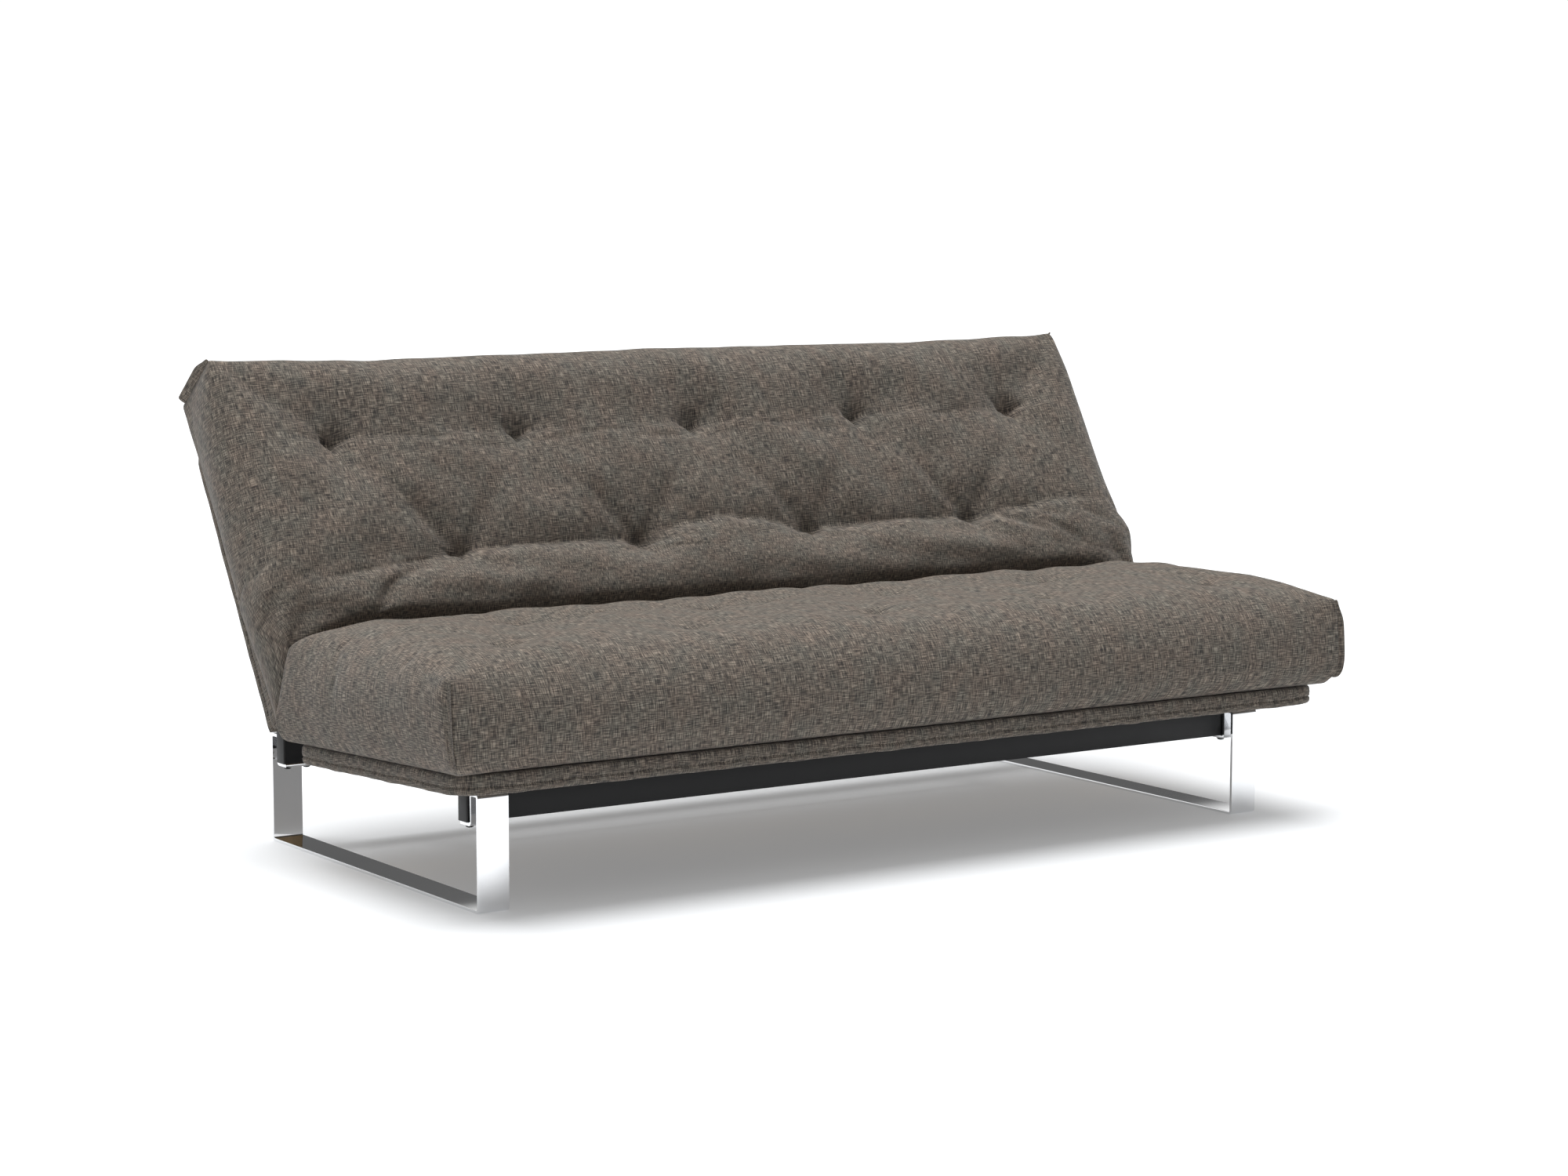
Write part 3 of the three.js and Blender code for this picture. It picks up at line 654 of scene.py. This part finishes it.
def round_edges(points, faces, x, v, w):
    """Rounds the long upper edges, but leaves the corner seams crisp."""
    from_rim = np.minimum(HALF_LENGTH - np.abs(x), HALF_WIDTH - np.abs(v))
    from_edge = np.where(w == 1, from_rim, (1.0 - w) * EDGE_HEIGHT)
    from_corner = np.hypot(HALF_LENGTH - np.abs(x), HALF_WIDTH - np.abs(v))
    weight = smooth_step(1.15 - from_edge / 0.075) * smooth_step(from_corner / 0.06)
    weight *= smooth_step(np.abs(v) / 0.05) * (w > 0)
    weight *= 1.0 - 0.75 * smooth_step((v - 0.05) / 0.15)
    return relax(points, faces, weight, 28)


def part_fold(points, v, w):
    """Keeps the cloth of each side of the fold on its own side of the fold's plane."""
    arm = points - HINGE
    gap = FOLD_GAP * smooth_step((arm @ FOLD_UP - FOLD_BOTTOM) / 0.03)
    across = arm @ FOLD_ACROSS
    wanted = np.where(v < 0, np.minimum(across, -gap), np.maximum(across, gap))
    wanted = np.where((np.abs(v) > SAME_PLACE) & (w > 0.5), wanted, across)
    return points + (wanted - across)[:, None] * FOLD_ACROSS


def held_points(x, v, w):
    """What the cloth is held by: the platforms under it, the tufts, the crease and the corner seams."""
    held = (w == 0) | ((w == 1) & (np.abs(v) < SAME_PLACE))
    held |= (HALF_LENGTH - np.abs(x) < SAME_PLACE) & (HALF_WIDTH - np.abs(v) < SAME_PLACE)
    for tuft_x, tuft_v in TUFTS:
        held |= (w == 1) & (np.hypot(x - tuft_x, v - tuft_v) < 0.009)
    return held


FILLING_FRAMES = 16
LARGEST_MOVE = 0.030  # of any point, when the cloth is filled


def slack(x, v, w):
    """Where the cloth is cut full: over the seat and the lower back, and less at the rim."""
    from_rim = np.minimum(HALF_LENGTH - np.abs(x), HALF_WIDTH - np.abs(v))
    full = smooth_step(from_rim / 0.14)
    upper_back = smooth_step((v - 0.30) / 0.12)
    return np.where(w == 1, full * (1.0 - 0.45 * upper_back), 0.0)


def inflate(points, faces, held, fullness):
    """Blows the cloth up against what holds it, as its filling does, and gives its new points."""
    used, renumbered = np.unique(faces, return_inverse=True)
    mesh = mesh_from("filling", points[used], renumbered.reshape(faces.shape))
    filling = new_object("filling", mesh)
    pins = filling.vertex_groups.new(name="held")
    pins.add(np.flatnonzero(held[used]).tolist(), 1.0, "REPLACE")
    fuller = filling.vertex_groups.new(name="fullness")
    for number, weight in enumerate(fullness[used]):
        fuller.add([number], float(weight), "REPLACE")
    cloth = filling.modifiers.new("cloth", "CLOTH")
    settings = cloth.settings
    settings.quality = 6
    settings.mass = 0.25
    settings.air_damping = 2.0
    settings.tension_stiffness = 25.0
    settings.compression_stiffness = 15.0
    settings.shear_stiffness = 8.0
    settings.bending_stiffness = 0.6
    settings.vertex_group_shrink = "fullness"
    settings.shrink_min = 0.0
    settings.shrink_max = -0.018
    settings.vertex_group_mass = "held"
    settings.use_pressure = True
    settings.uniform_pressure_force = 7.0
    settings.effector_weights.gravity = 0.0
    cloth.collision_settings.use_collision = False
    cloth.collision_settings.use_self_collision = False
    cloth.point_cache.frame_start = 1
    cloth.point_cache.frame_end = FILLING_FRAMES
    scene = bpy.context.scene
    for number in range(1, FILLING_FRAMES + 1):
        scene.frame_set(number)
    depsgraph = bpy.context.evaluated_depsgraph_get()
    blown = coordinates(filling.evaluated_get(depsgraph).data)
    scene.frame_set(1)
    bpy.data.objects.remove(filling)
    move = blown - points[used]
    length = np.linalg.norm(move, axis=1, keepdims=True)
    result = points.copy()
    allowed = LARGEST_MOVE * np.tanh(length / LARGEST_MOVE)
    result[used] += move * allowed / np.maximum(length, 1e-9)
    return result


def vertex_normals(mesh):
    flat = np.empty(len(mesh.vertices) * 3)
    mesh.vertices.foreach_get("normal", flat)
    return flat.reshape(-1, 3)


def cloth_places(mesh):
    data = mesh.attributes["cloth_place"].data
    flat = np.empty(len(data) * 3)
    data.foreach_get("vector", flat)
    return flat.reshape(-1, 3).T


def tuft_creases(x, v, w):
    """Short sharp creases that run out of each tuft, uneven from tuft to tuft."""
    rng = np.random.default_rng(11)
    push = np.zeros(len(x))
    for tuft_x, tuft_v in TUFTS:
        near = np.flatnonzero((np.hypot(x - tuft_x, v - tuft_v) < 0.12) & (w > 0.9))
        dx, dv = x[near] - tuft_x, v[near] - tuft_v
        r = np.hypot(dx, dv)
        angle = np.arctan2(dv, dx)
        strength = 0.5 if tuft_v < 0 else 1.0
        for base in (22.0, 158.0, 268.0):
            heading = math.radians(base + rng.uniform(-14, 14))
            reach = rng.uniform(0.035, 0.065)
            depth = strength * rng.uniform(0.003, 0.0055)
            swing = (angle - heading + math.pi) % (2 * math.pi) - math.pi
            across = r * np.sin(np.clip(swing, -math.pi / 2, math.pi / 2))
            width = 0.0035 + 0.08 * r
            line = np.exp(-((across / width) ** 2)) * (np.cos(swing) > 0) * np.exp(-((r / reach) ** 2))
            push[near] -= depth * line * smooth_step(r / 0.006)
    return push


def fold_wrinkles(x, v, w):
    """Drag folds that fan out over the lower back from both ends of the crease."""
    rng = np.random.default_rng(23)
    push = np.zeros(len(x))
    for side in (-1, 1):
        for number in range(5):
            start = (side * 0.99, 0.07 + 0.045 * number)
            heading = math.radians(18.0 + 13.0 * number + rng.uniform(-4, 4))
            length = rng.uniform(0.20, 0.30)
            end = (start[0] - side * length * math.cos(heading), start[1] + length * math.sin(heading))
            r, t = distance_to_line(x, v, start, end)
            depth = rng.uniform(0.0008, 0.0018)
            width = 0.008 + 0.012 * t
            push -= depth * np.sin(math.pi * (0.15 + 0.85 * t)) * np.exp(-((r / width) ** 2)) * (w > 0.5)
    return push


def soft_unevenness(x, v, w):
    """Low, broad unevenness of the filling."""
    rng = np.random.default_rng(5)
    push = np.zeros(len(x))
    for _ in range(26):
        heading = rng.uniform(0, math.pi)
        waves = rng.uniform(3.0, 9.0)
        phase = rng.uniform(0, 2 * math.pi)
        push += np.sin(2 * math.pi * waves * (x * math.cos(heading) + v * math.sin(heading)) + phase)
    from_rim = np.minimum(HALF_LENGTH - np.abs(x), HALF_WIDTH - np.abs(v))
    return 0.00055 * push * (w > 0.02) * (0.35 + 0.65 * smooth_step(from_rim / 0.12))


def make_mattress():
    """One closed piece of cloth over both platforms, folded across between the seat and the back."""
    x, v, w, faces, weaves, sides = mattress_grid()
    points = mattress_points(x, v, w)
    points = round_edges(points, faces, x, v, w)
    points = inflate(points, faces[sides != "under"], held_points(x, v, w), slack(x, v, w))
    points = pinch_corners(part_fold(points, v, w), x, v, w)
    mesh = mesh_from("mattress", points, faces)
    mesh.uv_layers.new(name="weave").data.foreach_set("uv", weaves.ravel())
    spot = mesh.attributes.new("cloth_place", "FLOAT_VECTOR", "POINT")
    spot.data.foreach_set("vector", np.column_stack([x, v, w]).ravel())
    made = new_object("mattress", mesh)
    subdivide = made.modifiers.new("subdivide", "SUBSURF")
    subdivide.levels = 1
    subdivide.render_levels = 1
    apply_modifiers(made)
    mesh = made.data
    shade_smooth(mesh)
    fine = cloth_places(mesh)
    push = tuft_creases(*fine) + fold_wrinkles(*fine) + soft_unevenness(*fine)
    set_coordinates(mesh, coordinates(mesh) + vertex_normals(mesh) * push[:, None])
    mesh.materials.clear()
    mesh.materials.append(MATERIALS["mattress_fabric"])
    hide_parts("mattress_seat", "mattress_back")
    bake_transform(made)
    make_corner_seams(points, x, v, w)


def corner_frames(x, v, w):
    """Each corner of the mattress: its name, body, points from the foot up, and the way out of it."""
    made = []
    for side, sign_x in (("left", -1), ("right", 1)):
        for edge, sign_v, body, axes in (("front", -1, "seat", SEAT_AXES), ("top", 1, "back", BACK_AXES)):
            at_end = np.abs(x - sign_x * HALF_LENGTH) < SAME_PLACE
            at_edge = np.abs(v - sign_v * HALF_WIDTH) < SAME_PLACE
            found = np.flatnonzero(at_end & at_edge & (w > 0.05))
            found = found[np.argsort(w[found])]
            outward = np.array([sign_x, 0.0, 0.0]) + sign_v * axes[0]
            made.append((f"mattress_seam_{edge}_{side}", body, found, outward / np.linalg.norm(outward)))
    return made


def pinch_corners(points, x, v, w):
    """Draws the cloth in along each corner, where the seam's flange grips it."""
    points = points.copy()
    for _, body, found, outward in corner_frames(x, v, w):
        points[found] -= SEAM_PINCH[body] * outward
    return points


def make_corner_seams(points, x, v, w):
    """The pinched flange that stands out of the mattress along each corner."""
    section = [(out, half) for out, half in FLANGE] + [(out, -half) for out, half in reversed(FLANGE)]
    for name, body, found, outward in corner_frames(x, v, w):
        line = points[found]
        run = (line[-1] - line[0]) / np.linalg.norm(line[-1] - line[0])
        thick = np.cross(run, outward)
        taper = 1.0 - FLANGE_TAPER * smooth_step((w[found, None] - 0.72) / 0.28)
        count = len(line)
        rings = [line + outward * out * taper + thick * half for out, half in section]
        faces = []
        weaves = []
        for ring in range(len(section)):
            following = (ring + 1) % len(section)
            for i in range(count - 1):
                quad = ((ring, i), (following, i), (following, i + 1), (ring, i + 1))
                faces.append([row * count + column for row, column in quad])
                for row, column in quad:
                    turned = ring + (row != ring)
                    weaves.append((FLANGE_WEAVE[0] * turned, FLANGE_WEAVE[1] * column))
        for end in (0, count - 1):
            cap = [ring * count + end for ring in range(len(section))]
            faces.append(cap if end else cap[::-1])
            weaves += [(0.0, 0.0)] * len(cap)
        mesh = mesh_from(name, np.concatenate(rings), faces)
        mesh.uv_layers.new(name="weave").data.foreach_set("uv", np.array(weaves).ravel())
        shade_smooth(mesh)
        mesh.materials.append(MATERIALS["mattress_fabric"])
        seam = new_object(name, mesh)
        subdivide = seam.modifiers.new("subdivide", "SUBSURF")
        subdivide.levels = 2
        subdivide.render_levels = 2
        apply_modifiers(seam)
        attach(seam, body)


# ---- Upholstered platforms ----
PLATFORM_CORNER = 0.065  # radius in plan
PLATFORM_EDGE = 0.009
SLEEVE_CORNER = 0.004  # radius in plan at the sleeve's open end
SLEEVE_CLOTH = 0.006  # cloth and its lining
SLEEVE_DEPTH = 0.045  # how far up the sleeve is open
COVER_STEP = 0.012  # about how far apart the points round a cover's outline are


def outline_corners(half_x, y0, y1, radii, inset):
    """Points round a rectangle drawn in by inset; its lower and upper corners have their own radii."""
    low, high = (max(radius - inset, 0.0005) for radius in radii)
    half_x, y0, y1 = half_x - inset, y0 + inset, y1 - inset
    corners = (
        (half_x - low, y0 + low, low, -90.0),
        (half_x - high, y1 - high, high, 0.0),
        (high - half_x, y1 - high, high, 90.0),
        (low - half_x, y0 + low, low, 180.0),
    )
    steps = 10
    made = []
    for centre_x, centre_y, radius, start in corners:
        for step in range(steps + 1):
            angle = math.radians(start + 90.0 * step / steps)
            made.append((centre_x + radius * math.cos(angle), centre_y + radius * math.sin(angle)))
    return np.array(made + made[:1])


def platform_profile(thickness, edge, seam_drop):
    """The cover's edge from its top to its underside, as inset from the outline and drop from the top."""
    steps = 5
    points = [(0.10, 0.0), (0.03, 0.0)]
    for step in range(steps + 1):
        angle = math.pi / 2 * step / steps
        points.append((edge - edge * math.sin(angle), edge - edge * math.cos(angle)))
    points += [
        (-0.0006, 0.5 * seam_drop + 0.003),
        (0.0, seam_drop - 0.0040),
        (0.0005, seam_drop - 0.0022),
        (0.0032, seam_drop),
        (0.0005, seam_drop + 0.0022),
        (0.0, seam_drop + 0.0040),
    ]
    for step in range(steps + 1):
        angle = math.pi / 2 * step / steps
        points.append((edge - edge * math.cos(angle), thickness - edge + edge * math.sin(angle)))
    points += [(0.030, thickness), (0.10, thickness)]
    return points


def make_cover(name, node, body, axes, y0, y1, thickness, seam_drop, low_corner, open_end=False):
    """A padded cover from y0 to y1 along its platform, with a rounded edge and a stitched seam round it."""
    half_x = (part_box(node)[1][0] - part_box(node)[0][0]) / 2
    radii = (low_corner, PLATFORM_CORNER)
    profile = platform_profile(thickness, PLATFORM_EDGE, seam_drop)
    outer = outline_corners(half_x, y0, y1, radii, 0.0)
    walked = np.concatenate([[0.0], np.cumsum(np.linalg.norm(np.diff(outer, axis=0), axis=1))])
    count = int(walked[-1] / COVER_STEP)
    step = walked[-1] / count
    at = np.arange(count) * step
    ripple = 0.0007 * np.sin(at * 2 * math.pi / 0.19 + 1.3) + 0.0005 * np.sin(at * 2 * math.pi / 0.071)
    points = []
    drops_walked = [0.0]
    for number, (inset, drop) in enumerate(profile):
        keys = outline_corners(half_x, y0, y1, radii, inset)
        if number:
            drops_walked.append(drops_walked[-1] + math.dist(profile[number - 1], profile[number]))
        out = -drop + (ripple if 0 < drop < thickness else np.zeros(count))
        points.append(place(axes, np.interp(at, walked, keys[:, 0]), np.interp(at, walked, keys[:, 1]), out))
    faces = []
    weaves = []
    for ring in range(len(profile) - 1):
        for i in range(count):
            quad = ((ring, i), (ring + 1, i), (ring + 1, i + 1), (ring, i + 1))
            faces.append([row * count + column % count for row, column in quad])
            weaves += [(column * step, -drops_walked[row]) for row, column in quad]
    points = np.concatenate(points)
    underside = list(range(len(points) - count, len(points)))
    for cap in (list(range(count)), underside[::-1]):
        faces.append(cap)
        weaves += [(p[0] + 5.0, np.dot(p - HINGE, axes[0])) for p in points[cap]]
    mesh = mesh_from(name, points, faces)
    mesh.uv_layers.new(name="weave").data.foreach_set("uv", np.array(weaves).ravel())
    made = new_object(name, mesh)
    if open_end:
        hollow_out(made, axes, half_x, y0, thickness)
    shade_smooth(made.data)
    made.data.materials.clear()
    made.data.materials.append(MATERIALS["cover_fabric"])
    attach(made, body)
    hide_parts(node)


def hollow_out(cover, axes, half_x, y0, thickness):
    """Opens the lower end of a cover, which is a sleeve there, and leaves its cloth and lining standing."""
    corners = [
        place(axes, x, along, -drop)
        for x in (SLEEVE_CLOTH - half_x, half_x - SLEEVE_CLOTH)
        for along in (y0 - 0.02, y0 + SLEEVE_DEPTH)
        for drop in (SLEEVE_CLOTH, thickness - SLEEVE_CLOTH)
    ]
    sides = [(0, 1, 3, 2), (4, 6, 7, 5), (0, 4, 5, 1), (2, 3, 7, 6), (0, 2, 6, 4), (1, 5, 7, 3)]
    tool = new_object("opening", mesh_from("opening", corners, sides))
    opening = cover.modifiers.new("opening", "BOOLEAN")
    opening.operation = "DIFFERENCE"
    opening.object = tool
    apply_modifiers(cover)
    bpy.data.objects.remove(tool)
    cover.data.set_sharp_from_angle(angle=math.radians(50.0))


def make_platforms():
    make_cover(
        "seat_cover_fabric",
        "seat_cover",
        "seat",
        SEAT_AXES,
        y0=-0.675,
        y1=-0.017,
        thickness=0.037,
        seam_drop=0.023,
        low_corner=PLATFORM_CORNER,
    )
    make_cover(
        "back_cover_fabric",
        "back_cover",
        "back",
        BACK_AXES,
        y0=0.042,
        y1=0.660,
        thickness=0.061,
        seam_drop=0.040,
        low_corner=SLEEVE_CORNER,
        open_end=True,
    )


# ---- Camera, floor and light ----
CAMERA_PLACE = (-3.7605, -5.6799, 1.2772)
CAMERA_LENS = 80.8  # in millimetres, on a sensor 36 wide
CAMERA_DIP = 6.771  # below level, in degrees
CAMERA_TURN = -33.73  # from straight along +Y, in degrees
FLOOR_REACH = 60.0
FLOOR_SINK = 0.0004  # keeps the floor just under the runners
SUN_STRENGTH = 4.0
SUN_WIDTH = 48.0  # in degrees: a wide, soft light
SUN_DIRECTION = (-0.06, 0.15, 0.98)
# The studio's grey by how high one looks: bright low down, dim at the sides, bright overhead.
STUDIO_LOW = 1.05
STUDIO_TOP = 0.9
STUDIO_BETWEEN = ((0.06, 1.05), (0.09, 0.12), (0.24, 0.12), (0.55, 0.16), (0.8, 0.7))


def make_camera():
    camera = bpy.data.cameras.new("camera")
    camera.sensor_width = 36.0
    camera.lens = CAMERA_LENS
    holder = bpy.data.objects.new("camera", camera)
    holder.location = CAMERA_PLACE
    holder.rotation_euler = Euler((math.radians(90.0 - CAMERA_DIP), 0.0, math.radians(CAMERA_TURN)))
    camera.clip_end = 200.0
    bpy.context.collection.objects.link(holder)
    bpy.context.scene.camera = holder


def make_floor():
    signs = ((-1, -1), (1, -1), (1, 1), (-1, 1))
    mesh = mesh_from("floor", [(a * FLOOR_REACH, b * FLOOR_REACH, 0.0) for a, b in signs], [(0, 1, 2, 3)])
    floor = new_object("floor", mesh)
    floor.location.z = -FLOOR_SINK
    material, _, shader = new_material("floor")
    shader.inputs["Base Color"].default_value = (0.695, 0.71, 0.725, 1.0)
    shader.inputs["Roughness"].default_value = 0.6
    shader.inputs["Emission Color"].default_value = (1.0, 1.0, 1.0, 1.0)
    shader.inputs["Emission Strength"].default_value = 0.23
    shader.inputs["Specular IOR Level"].default_value = 0.1
    mesh.materials.append(material)


def make_light():
    """A wide soft light overhead, a little behind and to the left, in a studio that is dim at its sides."""
    sun = bpy.data.lights.new("overhead", "SUN")
    sun.energy = SUN_STRENGTH
    sun.angle = math.radians(SUN_WIDTH)
    holder = bpy.data.objects.new("overhead", sun)
    holder.rotation_euler = Vector(SUN_DIRECTION).to_track_quat("Z", "Y").to_euler()
    bpy.context.collection.objects.link(holder)

    world = bpy.data.worlds.new("studio")
    world.use_nodes = True
    bpy.context.scene.world = world
    tree = world.node_tree
    background = tree.nodes["Background"]
    direction = add_node(tree, "ShaderNodeTexCoord").outputs["Generated"]
    height = add_node(tree, "ShaderNodeSeparateXYZ", Vector=direction).outputs["Z"]
    ramp = tree.nodes.new("ShaderNodeValToRGB")
    tree.links.new(height, ramp.inputs[0])
    for element, position, grey in zip(ramp.color_ramp.elements, (0.0, 1.0), (STUDIO_LOW, STUDIO_TOP)):
        element.position = position
        element.color = (grey, grey, grey, 1.0)
    for position, grey in STUDIO_BETWEEN:
        ramp.color_ramp.elements.new(position).color = (grey, grey, grey, 1.0)
    tree.links.new(ramp.outputs[0], background.inputs["Color"])
    background.inputs["Strength"].default_value = 1.0
    bpy.context.scene.view_settings.view_transform = "Standard"


make_camera()
make_floor()
make_light()
make_hard_parts()
make_platforms()
make_mattress()
